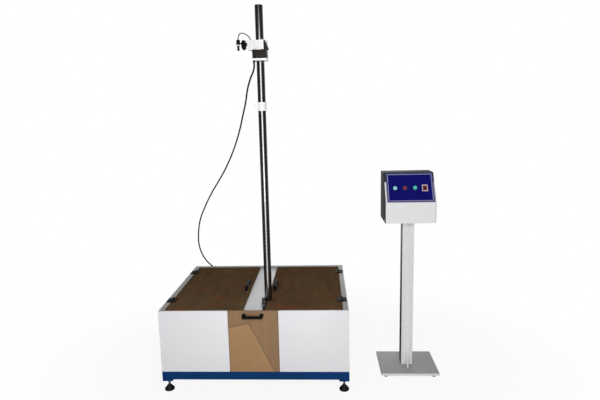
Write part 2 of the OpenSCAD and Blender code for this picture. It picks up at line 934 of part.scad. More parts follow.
module clamp_knob() {
    tip = column_r + 0.4;
    lobes = 7;
    color(black) on_head() translate([knob_x, knob_y, knob_z]) rotate([0, -90, 0]) {
        difference() {
            cylinder(h = knob_t, d = knob_d);
            for (k = [0:lobes - 1])
                rotate([0, 0, 360*k/lobes]) translate([knob_d/2 + 3, 0, -1])
                    cylinder(h = knob_t + 2, r = 6);
        }
        translate([0, 0, -10]) cylinder(h = 10, r1 = 7, r2 = 9);
        translate([0, 0, knob_x + tip]) cylinder(h = -knob_x - tip, d = clamp_d);
    }
}

// Stop collar: a split ring with an ear, grooved near its top
module collar_outline(cut) {
    circle(r = collar_r - cut);
    translate([-ear_l + cut, -ear_w/2 + cut])
        square([ear_l - cut, ear_w - 2*cut]);
}

module stop_collar() {
    color(bright) at_column(collar_z) difference() {
        linear_extrude(height = collar_h) collar_outline(0);
        translate([0, 0, collar_h - groove_z - groove_h])
            linear_extrude(height = groove_h) difference() {
                square(4*ear_l, center = true);
                collar_outline(groove_t);
            }
        translate([0, 0, -1]) cylinder(h = collar_h + 2, r = column_r + run);
        block([-ear_l - 1, -slit/2, -1], [0, slit/2, collar_h + 1]);
        bar([thumb_x, -ear_w, thumb_z], "y", 2*ear_w, thumb_screw_d/2 + run);
    }
}

module collar_screw() {
    color(steel) at_column(collar_z) {
        bar([thumb_x, -ear_w/2 - seat, thumb_z], "y", ear_w - 2, thumb_screw_d/2);
        difference() {
            bar([thumb_x, -ear_w/2 - seat - 8, thumb_z], "y", 8, thumb_d/2);
            for (k = [0:11])
                translate([thumb_x, -ear_w/2 - 9, thumb_z]) rotate([0, 30*k, 0])
                    translate([thumb_d/2 + 0.6, 0, 0]) rotate([-90, 0, 0])
                        cylinder(h = 10, r = 1.4);
        }
    }
}

module magnet_cable() {
    color(black) cord(cable_route, cable_d/2, 3, 10, [[0, 0, -1], [0, -1, 0]]);
}

// Control stand
module stand_base() {
    color(grey_paint) {
        block([stand_x - base_w/2, base_y - base_d/2, rubber_h],
            [stand_x + base_w/2, base_y + base_d/2, base_top]);
    }
}

module stand_feet() {
    in = 27;
    color(black)
        for (i = [-1, 1], j = [-1, 1])
            translate([stand_x + i*(base_w/2 - in), base_y + j*(base_d/2 - in), 0])
                cylinder(h = rubber_h, r1 = 12, r2 = 13.5);
}

module stand_post() {
    h = post_w/2;
    p = post_plate_w/2;
    z = console_z - post_plate_t;
    rib_t = 8;
    foot_rib = [45, 90];
    head_rib = [28, 50];
    color(light_grey) {
        square_tube([post_x - h, stand_y - h, base_top], [post_x + h, stand_y + h, z],
            post_wall, 2);
        block([post_x - p, stand_y - p, z], [post_x + p, stand_y + p, console_z]);
        for (j = [-1, 1])
            translate([post_x - rib_t/2, stand_y + j*h, base_top]) rotate([90, 0, 90])
                linear_extrude(height = rib_t)
                    polygon([[0, 0], [j*foot_rib[0], 0], [0, foot_rib[1]]]);
        for (j = [-1, 1])
            translate([post_x - rib_t/2, stand_y + j*h, z]) rotate([90, 0, 90])
                linear_extrude(height = rib_t)
                    polygon([[0, 0], [j*head_rib[0], 0], [0, -head_rib[1]]]);
    }
}

// Side view of the console's outside, moved inwards by t
function console_side(t) =
    let (
        a = slope_a,
        y0 = console_y + t,
        z0 = fold_z + t*((1 - sin(a))*tan(a) - cos(a)),
        z1 = back_z - t,
        y1 = console_y + slope_d + t*sin(a) - (t - t*cos(a))/tan(a)
    )
    [[y0, console_z + t], [y0, z0], [y1, z1],
        [console_y + console_d - t, z1], [console_y + console_d - t, console_z + t]];

module console_prism(t, w) {
    translate([console_x - w/2, 0, 0]) rotate([90, 0, 90])
        linear_extrude(height = w) polygon(console_side(t));
}

// The dark shell: the two sides, the top and the back
module console_shell() {
    color(charcoal) difference() {
        console_prism(0, console_w);
        difference() {
            console_prism(sheet, console_w - 2*sheet);
            block([console_x - console_w, console_y, back_z - sheet],
                [console_x + console_w, console_y + console_d, back_z]);
        }
        translate([console_x - console_w/2 + sheet, 0, 0]) rotate([90, 0, 90])
            linear_extrude(height = console_w - 2*sheet) polygon([
                [console_y - 1, console_z - 1], [console_y - 1, back_z + 1],
                console_side(0)[2], console_side(sheet)[2],
                [console_y + console_d - sheet, console_z + sheet],
                [console_y + console_d - sheet, console_z - 1]]);
        bar([console_x, console_y + console_d - sheet - 1, ferrule_up], "y",
            sheet + 2, ferrule_r + run);
    }
}

// The light fascia: the floor, the upright front and the slope, one folded sheet
module console_fascia() {
    out = console_side(0);
    in = console_side(sheet);
    w = console_w - 2*sheet - 2*split;
    far = console_y + console_d - sheet - split;
    color(light_grey) difference() {
        translate([console_x - w/2, 0, 0]) rotate([90, 0, 90])
            linear_extrude(height = w)
                polygon([[far, console_z], out[0], out[1], out[2], in[2], in[1], in[0],
                    [far, console_z + sheet]]);
        controls_at() translate([0, 0, -20]) cylinder(h = 40, d = barrel_d + 0.4);
        switch_at() block([-rocker_w/2 - rocker_gap, -rocker_h/2 - rocker_gap, -20],
            [rocker_w/2 + rocker_gap, rocker_h/2 + rocker_gap, 20]);
    }
}

// The slope's own place: X across, Y up the slope, Z out of it
module on_slope(x, y, z) {
    translate([console_x, console_y, fold_z]) rotate([slope_a, 0, 0])
        translate([x, y, z]) children();
}

module control(k) {
    on_slope((k - 1.5)*control_pitch + control_shift, control_up, 0) children();
}

module controls_at() {
    for (k = [0:2]) control(k) children();
}

module switch_at() {
    control(3) children();
}

module blue_panel() {
    color([0.07, 0.08, 0.45]) difference() {
        on_slope(0, 0, 0) block([-console_w/2 + blue_left, 3, split],
            [console_w/2 - blue_right, slope_l - 4, blue_t]);
        controls_at() translate([0, 0, -1]) cylinder(h = 4, d = barrel_d + 0.4);
        switch_at() block([-rocker_w/2 - rocker_gap, -rocker_h/2 - rocker_gap, -1],
            [rocker_w/2 + rocker_gap, rocker_h/2 + rocker_gap, 4]);
    }
}

// Round bezels with their barrels, and the switch's square frame
module control_bezels() {
    wall = rocker_gap - seat;
    color(bright) {
        controls_at() difference() {
            union() {
                translate([0, 0, blue_t]) cylinder(h = bezel_h, d = cap_d + 2*bezel_w);
                translate([0, 0, -28]) cylinder(h = 28 + blue_t, d = barrel_d);
                translate([0, 0, -sheet - 5]) cylinder(h = 5, d = 26, $fn = 6);
            }
            translate([0, 0, cap_floor]) cylinder(h = 20, d = cap_d + 0.6);
            translate([0, 0, -29]) cylinder(h = 40, d = stem_d + 2*run);
            translate([0, 0, -29]) cylinder(h = 29 + web_z, d = stem_d + 5);
        }
        switch_at() difference() {
            union() {
                block([-frame_w/2, -frame_h/2, blue_t], [frame_w/2, frame_h/2, blue_t + 3]);
                block([-rocker_w/2 - wall, -rocker_h/2 - wall, -24],
                    [rocker_w/2 + wall, rocker_h/2 + wall, blue_t]);
            }
            block([-rocker_w/2, -rocker_h/2, -7], [rocker_w/2, rocker_h/2, 10]);
            bar([-rocker_w, 0, 0], "x", 2*rocker_w, pivot_d/2 + run);
        }
    }
}

// A round cap in its bezel, raised by a gap
module cap(gap) {
    up = cap_floor + gap;
    translate([0, 0, up]) cylinder(h = 5, d = cap_d);
    translate([0, 0, up + 5]) cylinder(h = 1.5, d1 = cap_d, d2 = cap_d - 4);
}

// A push button: a cap with room to travel, on a stem that a collar keeps in
module push_button() {
    foot = web_z - seat;
    cap(button_travel + seat);
    translate([0, 0, foot]) cylinder(h = cap_floor + button_travel + seat - foot, d = stem_d);
    translate([0, 0, foot - 1.5]) cylinder(h = 1.5, d = stem_d + 3);
}

module green_lamp() {
    color([0.25, 0.75, 0.65]) control(0) cap(0);
}

module red_button() {
    color([0.75, 0.12, 0.20]) control(1) push_button();
}

module green_button() {
    color([0.15, 0.70, 0.50]) control(2) push_button();
}

// The rocker on its pivot, tilted so that its upper half stands out
module rocker_switch() {
    r = rocker_h/2 - 1.2;
    color([0.35, 0.06, 0.12]) switch_at() rotate([rocker_tilt, 0, 0]) {
        translate([-rocker_w/2 + 0.5, 0, 0]) rotate([90, 0, 90])
            linear_extrude(height = rocker_w - 1)
                polygon([[-r, 3], [-4, -2.5], [4, -2.5], [r, 3],
                    [r - 1, 6.5], [0, 4.5], [-r + 1, 6.5]]);
        bar([-rocker_w/2 - rocker_gap + seat, 0, 0], "x", rocker_w + 2*(rocker_gap - seat),
            pivot_d/2);
    }
}

module power_supply() {
    size = [130, 40, 85];
    color(steel)
        translate([console_x - console_w/2 + 25, console_y + console_d - 12 - size[1],
            console_z + sheet]) cube(size);
}

// A circuit board on four spacers, with a terminal block and two relays
module relay_board() {
    board = [80, 100, 1.6];
    spacer_h = 8;
    relay = [30, 30, 20];
    terminal = [20, 60, 16];
    top = spacer_h + board[2];
    color([0.10, 0.40, 0.20])
        translate([console_x + console_w/2 - board[0] - 21, console_y + 35,
            console_z + sheet]) {
            for (i = [0, 1], j = [0, 1])
                translate([5 + i*(board[0] - 10), 5 + j*(board[1] - 10), 0])
                    cylinder(h = spacer_h, d = 6);
            translate([0, 0, spacer_h]) cube(board);
            translate([6, 10, top]) cube(terminal);
            for (j = [0, 1])
                translate([terminal[0] + 16, 15 + j*(relay[1] + 10), top]) cube(relay);
        }
}

module console_gland() {
    y = console_y + console_d;
    color(black) difference() {
        union() {
            bar([console_x, y - sheet - 6, ferrule_up], "y", sheet + 6, ferrule_r);
            bar([console_x, y, ferrule_up], "y", 6, ferrule_r + 3);
            translate([console_x, y + 6, ferrule_up]) rotate([-90, 0, 0])
                cylinder(h = ferrule_l - 6, r1 = ferrule_r + 2, r2 = ferrule_r - 0.5);
        }
        bar([console_x, y - sheet - 7, ferrule_up], "y", ferrule_l + sheet + 8, 3.5);
    }
}

place() base_frame();
place() floor_pan();
place() inner_frame();
place() front_panels();
place() side_panels();
place() rear_panel();
place() top_rim();
place() lid_seals();
place() centre_strip();
place() column_socket();
place() socket_bolts();
place() column();
place() column_toe();
place() hinge_leaves_fixed();
place() impact_plate();
place() specimen_support();
place() support_rubber();
place() steel_ball();
place() rear_gland();
levelling_foot(-1, 0);  // foot_front_left
levelling_foot(1, 0);  // foot_front_right
levelling_foot(-1, 1);  // foot_rear_left
levelling_foot(1, 1);  // foot_rear_right
place() lid_left();
place() lid_right();
place() lid_handle_left();
place() lid_handle_right();
place() hinge_leaves_left();
place() hinge_leaves_right();
place() slide_panel();
place() panel_handle();
place() clamp_frame();
place() slider_plate();
place() slider_block();
place() slider_bush();
place() slider_gland();
place() head_block();
place() head_side_plate();
place() arm_rod();
place() magnet_body();
place() magnet_pole();
place() magnet_lead();
place() clamp_knob();
place() stop_collar();
place() collar_screw();
place() magnet_cable();
place() stand_base();
place() stand_feet();
place() stand_post();
place() console_shell();
place() console_fascia();
place() blue_panel();
place() control_bezels();
place() green_lamp();
place() red_button();
place() green_button();
place() rocker_switch();
place() power_supply();
place() relay_board();
place() console_gland();
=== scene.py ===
"""Dresses the ball drop impact tester: its cables, rounded edges, screws and finishes."""

import json
import math

import bpy
from bpy.props import FloatProperty, FloatVectorProperty, IntProperty, PointerProperty
from mathutils import Matrix, Vector

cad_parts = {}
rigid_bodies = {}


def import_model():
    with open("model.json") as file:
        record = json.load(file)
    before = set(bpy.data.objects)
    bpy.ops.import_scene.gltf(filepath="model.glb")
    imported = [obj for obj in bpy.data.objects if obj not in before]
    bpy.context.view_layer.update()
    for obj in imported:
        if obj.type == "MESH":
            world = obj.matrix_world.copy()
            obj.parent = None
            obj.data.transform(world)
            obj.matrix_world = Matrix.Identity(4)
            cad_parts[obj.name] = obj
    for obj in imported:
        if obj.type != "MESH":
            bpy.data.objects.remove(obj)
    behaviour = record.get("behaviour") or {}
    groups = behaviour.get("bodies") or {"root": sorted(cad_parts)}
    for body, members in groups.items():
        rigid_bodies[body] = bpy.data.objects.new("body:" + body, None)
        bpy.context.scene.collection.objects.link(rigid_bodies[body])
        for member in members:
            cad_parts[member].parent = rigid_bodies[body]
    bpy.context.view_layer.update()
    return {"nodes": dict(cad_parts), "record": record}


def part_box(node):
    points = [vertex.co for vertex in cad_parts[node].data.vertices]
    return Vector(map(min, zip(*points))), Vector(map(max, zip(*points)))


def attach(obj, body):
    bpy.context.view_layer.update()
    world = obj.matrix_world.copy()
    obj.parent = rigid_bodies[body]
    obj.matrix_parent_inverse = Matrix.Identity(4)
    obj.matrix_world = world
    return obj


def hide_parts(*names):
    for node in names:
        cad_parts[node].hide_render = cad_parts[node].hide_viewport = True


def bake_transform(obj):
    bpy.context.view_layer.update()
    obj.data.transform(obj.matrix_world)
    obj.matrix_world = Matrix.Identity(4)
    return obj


bl_info = {
    "name": "Ball drop impact tester",
    "version": (1, 0, 0),
    "blender": (4, 5, 0),
    "location": "3D View > Sidebar > Impact tester",
    "description": "Adds the cables, the screws and the finishes of a ball drop impact tester",
    "category": "Object",
}

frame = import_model()
NODES = frame["nodes"]
BODY_OF = {node: body for body, nodes in frame["record"]["behaviour"]["bodies"].items()
           for node in nodes}
SLOT_OF = {row["node"]: row["material_slot"] for row in frame["record"]["subparts"]}

# The part's own origin, counted from the middle of the cabinet's front edge, in metres
ORIGIN = Vector((0.253, 0.400, 0))


def spot(x, y, z):
    """A point given in millimetres from the middle of the cabinet's front edge."""
    return Vector((x, y, z)) / 1000 - ORIGIN


# The cabinet's half width, its depth and the middles of its hinges, in millimetres
HALF_WIDTH, DEPTH = 500, 800
HINGES = (155, 655)
# The column's foot, the head's turn round the column, and the middle of the clamp knob's
# outer face, counted from the column's foot in the head's own place
COLUMN = spot(65, 170, 0)
HEAD_TURN = math.radians(-15)
KNOB_FACE = Vector((-0.091, -0.006, 1.813))
# Where one piece changes its finish, in metres
RING_HEIGHT = 0.0052
FOOT_PLASTIC_TOP = 0.0301
# behind the post's front, its sides and back have painted shade
POST_FRONT_END = spot(0, 253, 0).y
SWITCH_FRAME_START = spot(895, 0, 0).x
# the base plate's lit front face is this deep; behind it the plate has painted shade
BASE_FRONT_DEPTH = 0.001
# The camera that took the photo: its place, its lens in millimetres, its turns in radians
CAMERA_PLACE = spot(369.26, -2384.32, 1425.1)
CAMERA_LENS = 29.15
YAW, PITCH, ROLL = -0.046, 0.1619, -0.0222
# The lamps: place, aim, width and height in metres, and watts
LAMPS = {
    "Key light": ((-0.06, -3.63, 1.66), (-0.19, -0.23, 0.9), (1.8, 3.0), 85),
    "Right light": ((3.0, 2.2, 2.2), (0.2, 0, 0.7), (3.0, 3.0), 6),
    "Back light": ((0.4, 4.2, 2.0), (0.2, 0, 0.8), (2.4, 2.4), 26),
}

# The magnet cable from the slider's gland to the gland on the rear panel, in millimetres
CABLE_ROUTE = [
    (36, 141, 1716), (36, 141, 1703), (33.5, 142.5, 1688), (26.5, 147.5, 1670),
    (9, 168, 1640), (-15, 222, 1592), (-40, 305, 1528), (-70, 372, 1455),
    (-100, 440, 1383), (-136, 510, 1308), (-176, 575, 1235), (-217, 630, 1167),
    (-261, 680, 1101), (-308, 725, 1037), (-356, 762, 970), (-413, 796, 875),
    (-460, 816, 771), (-481, 830, 656), (-477, 841, 567), (-446, 852, 488),
    (-396, 863, 430), (-348, 878, 390), (-314, 891, 360), (-288, 899, 336),
    (-268, 895, 317), (-255, 880, 305), (-250, 860, 300), (-250, 835, 300),
]
# The magnet's short lead, in millimetres from the top of the magnet in the head's own place
LEAD_ROUTE = [
    (0, 0, 0), (1.1, -0.4, 10.5), (6.1, -2.1, 20.5), (14.6, -5.1, 27),
    (25.5, -8.8, 28.5), (37.8, -13, 25.5), (51, -17.6, 19), (63.3, -21.8, 11.5),
    (72.8, -25.1, 3.5), (79.4, -27.4, -6), (82.7, -28.5, -17),
]


# ------------------------------------------------------------------ settings


def colour(name, description, red, green, blue):
    """A colour setting, given as the 0 to 255 values that a screen shows."""
    return FloatVectorProperty(
        name=name, description=description, subtype="COLOR_GAMMA", size=3,
        min=0, max=1, default=(red / 255, green / 255, blue / 255))


def length(name, description, millimetres):
    """A size setting in metres, given in millimetres."""
    return FloatProperty(name=name, description=description, unit="LENGTH",
                         subtype="DISTANCE", min=0, default=millimetres / 1000)


class TesterColours(bpy.types.PropertyGroup):
    """Colours of the finishes."""

    white: colour("White panels", "Paint of the cabinet's panels", 222, 222, 225)
    blue: colour("Blue frame", "Paint of the base frame", 9, 53, 104)
    rim: colour("Rim", "Paint of the rim around the lids", 167, 166, 163)
    strip: colour("Centre strip", "Paint of the strip between the lids", 232, 232, 234)
    light_grey: colour("Light grey", "Paint of the post's front and the fascia",
                       222, 222, 223)
    # the base plate's top and sides: its light grey paint with painted shade
    base_plate_shaded_grey: colour("Base grey", "Paint of the stand's base plate", 167, 167, 166)
    # also the painted shade on the post's sides and back
    charcoal: colour("Charcoal", "Paint of the console's shell", 46, 49, 54)
    black: colour("Black", "Black plastic and black paint", 20, 21, 21)
    lid: colour("Lid", "Dark film on the lids", 98, 78, 56)
    kraft: colour("Kraft", "Brown film on the sliding panel", 158, 125, 88)
    panel: colour("Blue panel", "Printed film on the console's slope", 10, 12, 106)
    border: colour("Blue panel's border", "Film outside the printed line", 74, 72, 118)
    lamp: colour("Lamp", "Lens of the lamp", 150, 214, 222)
    green: colour("Green", "Green button", 74, 190, 182)
    red: colour("Red", "Red button", 128, 40, 84)
    rocker: colour("Rocker", "Dark red rocker", 84, 12, 26)
    bezel: colour("Bezels", "Rings around the lamp and the buttons", 20, 44, 66)
    switch: colour("Switch frame", "Frame around the rocker", 232, 206, 212)


class TesterSizes(bpy.types.PropertyGroup):
    """Sizes of what is added in this scene."""

    cable: length("Cable", "Diameter of the magnet cable", 9)
    lead: length("Lead", "Diameter of the magnet's lead", 5)
    panel_round: length("Panel edge", "Rounding of the sheet panels' edges", 0.8)
    plate_round: length("Plate edge", "Rounding of the plates' edges", 0.6)
    frame_round: length("Frame edge", "Rounding of the base frame's edges", 2.5)
    grip_round: length("Grip edge", "Rounding of the lid handles", 4)
    screw: length("Screw", "Diameter of a panel screw's head", 9)
    hinge_screw: length("Hinge screw", "Diameter of a hinge screw's head", 4.4)
    toe_screw: length("Toe screw", "Diameter of a toe screw's head", 7.4)
    knob_insert: length("Knob insert", "Diameter of the clamp knob's light insert", 20)
    round_steps: IntProperty(name="Edge steps", description="Faces across a rounded edge",
                             min=1, max=6, default=3)


# ------------------------------------------------------------------ shader maths


class Signal:
    """A socket's value, on which Python's operators add Math nodes."""

    def __init__(self, finish, socket):
        self.finish = finish
        self.socket = socket

    def math(self, operation, *others, clamp=False):
        """Adds a Math node that works on this value and the others."""
        settings = {"operation": operation, "use_clamp": clamp}
        return self.finish.node("ShaderNodeMath", settings, [self, *others])

    def __add__(self, other):
        return self.math("ADD", other)

    def __sub__(self, other):
        return self.math("SUBTRACT", other)

    def __rsub__(self, other):
        return (self * -1) + other

    def __mul__(self, other):
        return self.math("MULTIPLY", other)

    def __truediv__(self, other):
        return self.math("DIVIDE", other)

    def __gt__(self, other):
        return self.math("GREATER_THAN", other)

    def __lt__(self, other):
        return self.math("LESS_THAN", other)

    def __abs__(self):
        return self.math("ABSOLUTE")

    def within(self, low, high):
        """0 at low, 1 at high and a straight slope between, kept from 0 to 1."""
        return ((self - low) / (high - low)).math("MULTIPLY", 1, clamp=True)

    __radd__ = __add__
    __rmul__ = __mul__


class Graph:
    """A node tree that is written as expressions."""

    def __init__(self, tree):
        self.tree = tree
        place = tree.nodes.new("ShaderNodeTexCoord")
        self.place = Signal(self, place.outputs["Object"])

    def node(self, kind, settings=None, values=(), output=0):
        """Adds a node: its settings first, then what its sockets hold or follow."""
        made = self.tree.nodes.new(kind)
        for key, value in (settings or {}).items():
            setattr(made, key, value)
        pairs = values.items() if isinstance(values, dict) else enumerate(values)
        for key, value in pairs:
            self.feed(made.inputs[key], value)
        return None if output is None else Signal(self, made.outputs[output])

    def ray(self, kind):
        """1 for rays of a kind, such as those from the camera, and 0 for others."""
        return self.node("ShaderNodeLightPath", output="Is %s Ray" % kind)

    def background_rays(self):
        """1 for the rays that see the background: from the camera, gloss and glass."""
        return self.ray("Camera").math("MAXIMUM", self.ray("Glossy")).math(
            "MAXIMUM", self.ray("Transmission"))

    def backdrop(self, low, high):
        """White for the camera, and in gloss dark in front and white behind."""
        x, y, _ = self.axes()
        behind = (y - x * 0.12).within(low, high)
        return self.ray("Camera").math("MAXIMUM", behind * 0.94 + 0.06)

    def feed(self, socket, value):
        """Links a signal to a socket, or sets the socket to a plain value."""
        if isinstance(value, Signal):
            self.tree.links.new(value.socket, socket)
        else:
            socket.default_value = value

    def axes(self, place=None):
        """The X, Y and Z of a place, each as a signal."""
        split = self.tree.nodes.new("ShaderNodeSeparateXYZ")
        self.feed(split.inputs[0], place or self.place)
        return [Signal(self, out) for out in split.outputs]

    def local(self, origin, turn=(0, 0, 0)):
        """Coordinates counted from an origin, in axes turned by three angles."""
        return self.node("ShaderNodeMapping", {"vector_type": "TEXTURE"},
                         {"Vector": self.place, "Location": origin, "Rotation": turn})

    def stretched(self, scale):
        """Coordinates multiplied along each axis."""
        return self.node("ShaderNodeMapping", {}, {"Vector": self.place, "Scale": scale})

    def noise(self, scale, detail=3.0, rough=0.5, stretch=(1, 1, 1), place=None):
        """Soft noise from 0 to 1, with so many waves to the metre."""
        where = place or (self.place if stretch == (1, 1, 1) else self.stretched(stretch))
        return self.node("ShaderNodeTexNoise", {"noise_dimensions": "3D"},
                         {"Vector": where, "Scale": scale, "Detail": detail,
                          "Roughness": rough})

    def cells(self, scale, stretch=(1, 1, 1)):
        """Distances to the middles of scattered cells."""
        where = self.stretched(stretch)
        return self.node("ShaderNodeTexVoronoi", {"feature": "F1"},
                         {"Vector": where, "Scale": scale})

    def mix(self, first, second, share):
        """A colour between two colours."""
        made = self.tree.nodes.new("ShaderNodeMix")
        made.data_type = "RGBA"
        inputs = [s for s in made.inputs if s.type == "RGBA"]
        self.feed(made.inputs[0], share)
        for socket, value in zip(inputs, (first, second)):
            self.feed(socket, value if isinstance(value, Signal) else (*value, 1))
        return Signal(self, next(s for s in made.outputs if s.type == "RGBA"))


class Finish(Graph):
    """A material on Object coordinates, with one main shader."""

    def __init__(self, name):
        self.material = bpy.data.materials.new(name)
        self.material.use_nodes = True
        super().__init__(self.material.node_tree)
        self.shader = self.tree.nodes["Principled BSDF"]

    def set(self, **sockets):
        """Sets the main shader's sockets, written with underscores for spaces."""
        for key, value in sockets.items():
            socket = self.shader.inputs[key.replace("_", " ")]
            if not isinstance(value, Signal) and socket.type == "RGBA":
                value = (*value, 1)
            self.feed(socket, value)
        return self

    def relief(self, height, strength=0.3, depth=0.001):
        """Bumps from a height of 0 to 1, as deep as depth in metres."""
        bump = self.node("ShaderNodeBump", {},
                         {"Height": height, "Strength": strength, "Distance": depth})
        self.feed(self.shader.inputs["Normal"], bump)
        return self


def seen(shown):
    """The light that a screen colour stands for."""
    return tuple(c / 12.92 if c <= 0.04045 else ((c + 0.055) / 1.055) ** 2.4
                 for c in shown)


def shade(rgb, factor):
    """A colour made lighter or darker."""
    return tuple(min(1.0, c * factor) for c in rgb)


# ------------------------------------------------------------------ finishes


def baked_paint(name, shown, rough=0.42, grain=1400, uneven=0.05, gloss=0.4):
    """Powder paint: a fine orange peel, slightly uneven in colour and in gloss."""
    f = Finish(name)
    rgb = seen(shown)
    cloud = f.noise(3.5, detail=5, rough=0.6)
    specks = f.noise(grain / 4, detail=2)
    f.set(Base_Color=f.mix(shade(rgb, 1 - uneven), shade(rgb, 1 + uneven * 0.6), cloud),
          Roughness=specks * 0.10 + (rough - 0.05) + cloud * 0.06,
          Specular_IOR_Level=gloss)
    return f.relief(f.noise(grain, detail=2), 0.12, 0.0003).material


def paint_and_painted_shade(name, front, behind, edge_y, rough=0.45):
    """Powder paint that changes at a distance behind the origin: front, then behind, where the
    colour behind is painted shade.
    """
    f = Finish(name)
    y = f.axes()[1]
    cloud = f.noise(4, detail=5, rough=0.6)
    lines = f.noise(60, detail=2, stretch=(1, 1, 0.02))
    light = f.mix(shade(seen(front), 0.93), shade(seen(front), 1.03),
                  cloud * 0.5 + lines * 0.5)
    # behind the edge: a darker colour that is painted shade on the faces turned away from the
    # light
    dark = f.mix(shade(seen(behind), 0.90), shade(seen(behind), 1.08), cloud)
    f.set(Base_Color=f.mix(light, dark, y > edge_y),
          Roughness=cloud * 0.08 + (rough - 0.04), Specular_IOR_Level=0.3)
    return f.relief(f.noise(1300, detail=2), 0.12, 0.0003).material


def enamel_black():
    """Polished black enamel on the column, with faint smudges and dark edges."""
    f = Finish("Column black")
    smudge = f.noise(16, detail=6, rough=0.65)
    f.set(Base_Color=f.mix((0.220, 0.220, 0.224), (0.260, 0.260, 0.266), smudge),
          Metallic=1.0, Roughness=smudge * 0.06 + 0.20, Specular_Tint=(0, 0, 0))
    return f.relief(f.noise(300, detail=2), 0.01, 0.0001).material


def two_levels(name, level, low, high):
    """One finish below a height and another above it: colour, metal share, roughness."""
    f = Finish(name)
    upper = f.axes()[2] > level
    cloud = f.noise(40, detail=4)
    tone = f.mix(seen(low[0]), seen(high[0]), upper)
    f.set(Base_Color=f.mix(tone, (0, 0, 0), cloud * 0.25),
          Metallic=upper * (high[1] - low[1]) + low[1],
          Roughness=upper * (high[2] - low[2]) + low[2] + cloud * 0.10,
          Specular_IOR_Level=0.3)
    return f.relief(f.noise(1600, detail=2), 0.15, 0.0002).material


def moulded(name, shown, rough=0.48, gloss=0.12):
    """Moulded plastic with a fine spark texture."""
    f = Finish(name)
    rgb = seen(shown)
    cloud = f.noise(22, detail=4)
    f.set(Base_Color=f.mix(shade(rgb, 0.86), shade(rgb, 1.15), cloud),
          Roughness=cloud * 0.12 + (rough - 0.06), Specular_IOR_Level=gloss)
    return f.relief(f.noise(2600, detail=2), 0.15, 0.0002).material


def rubber():
    """Black rubber with dust on it."""
    f = Finish("Rubber")
    dust = f.noise(45, detail=6, rough=0.7)
    f.set(Base_Color=f.mix((0.012, 0.012, 0.012), (0.045, 0.044, 0.042),
                           dust.within(0.5, 0.85)),
          Roughness=dust * 0.15 + 0.65, Specular_IOR_Level=0.2)
    return f.relief(f.noise(1500, detail=3), 0.3, 0.0003).material


def brushed(name, grey, rough=0.32, along="z"):
    """Ground metal with fine lines along one axis."""
    f = Finish(name)
    stretch = tuple(0.02 if axis == along else 1.0 for axis in "xyz")
    lines = f.noise(1800, detail=3, rough=0.6, stretch=stretch)
    cloud = f.noise(12, detail=4)
    f.set(Base_Color=f.mix((grey * 0.82,) * 3, (grey, grey, grey * 1.02), lines),
          Metallic=1.0, Roughness=lines * 0.16 + cloud * 0.08 + (rough - 0.12))
    return f.relief(lines, 0.08, 0.0002).material


def milled_alloy(name, grey, rough, metallic=1.0, lid_reflection=0.0, gloss=0.3):
    """Milled and blasted alloy, with a faint pattern of cutter passes."""
    f = Finish(name)
    passes = f.noise(700, detail=2, stretch=(1, 0.05, 1))
    cloud = f.noise(30, detail=5, rough=0.6)
    # the brown in this lighter tone is a painted reflection of the brown lids, laid in cloud
    # patches; with no brown share it is only uneven grey
    tone_and_lid_reflection = (grey * (1 + lid_reflection), grey * (1 + lid_reflection * 0.45), grey * (1 + lid_reflection * 0.15))
    f.set(Base_Color=f.mix((grey * 0.88,) * 3, tone_and_lid_reflection, cloud),
          Metallic=metallic, Roughness=passes * 0.10 + cloud * 0.10 + (rough - 0.10),
          Specular_IOR_Level=gloss)
    return f.relief(passes, 0.06, 0.0002).material


def polished(name, rough=0.12):
    """Polished steel with a slight haze."""
    f = Finish(name)
    haze = f.noise(60, detail=5)
    f.set(Base_Color=f.mix((0.70, 0.70, 0.71), (0.86, 0.86, 0.87), haze),
          Metallic=1.0, Roughness=haze * 0.08 + rough)
    return f.relief(f.noise(900, detail=2), 0.02, 0.0001).material


def lid_film(rgb_shown):
    """Dark brown film: faint streaks, rows of ruddy blotches and small bubbles."""
    f = Finish("Lid film")
    rgb = seen(rgb_shown)
    streaks = f.noise(22, detail=4, rough=0.6, stretch=(1, 0.10, 1))
    rows = f.noise(15, detail=4, rough=0.65, stretch=(0.35, 1, 1))
    patches = f.noise(4.5, detail=4, rough=0.6)
    ruddy = (rgb[0] * 1.60, rgb[1] * 0.80, rgb[2] * 0.70)
    tone = f.mix(shade(rgb, 0.82), shade(rgb, 1.14), streaks.within(0.30, 0.70))
    tone = f.mix(tone, shade(rgb, 0.66), patches.within(0.50, 0.75) * 0.6)
    nearer = 1 - f.axes()[1].within(-0.40, 0.25)
    f.set(Base_Color=f.mix(tone, ruddy, rows.within(0.52, 0.64) * (0.30 + nearer * 0.40)),
          Roughness=streaks * 0.12 + patches * 0.12 + 0.50, Specular_IOR_Level=0)
    wrinkles = f.noise(38, detail=3, stretch=(1, 0.12, 1))
    return f.relief(wrinkles + f.noise(600, detail=2) * 0.2, 0.08, 0.0006).material


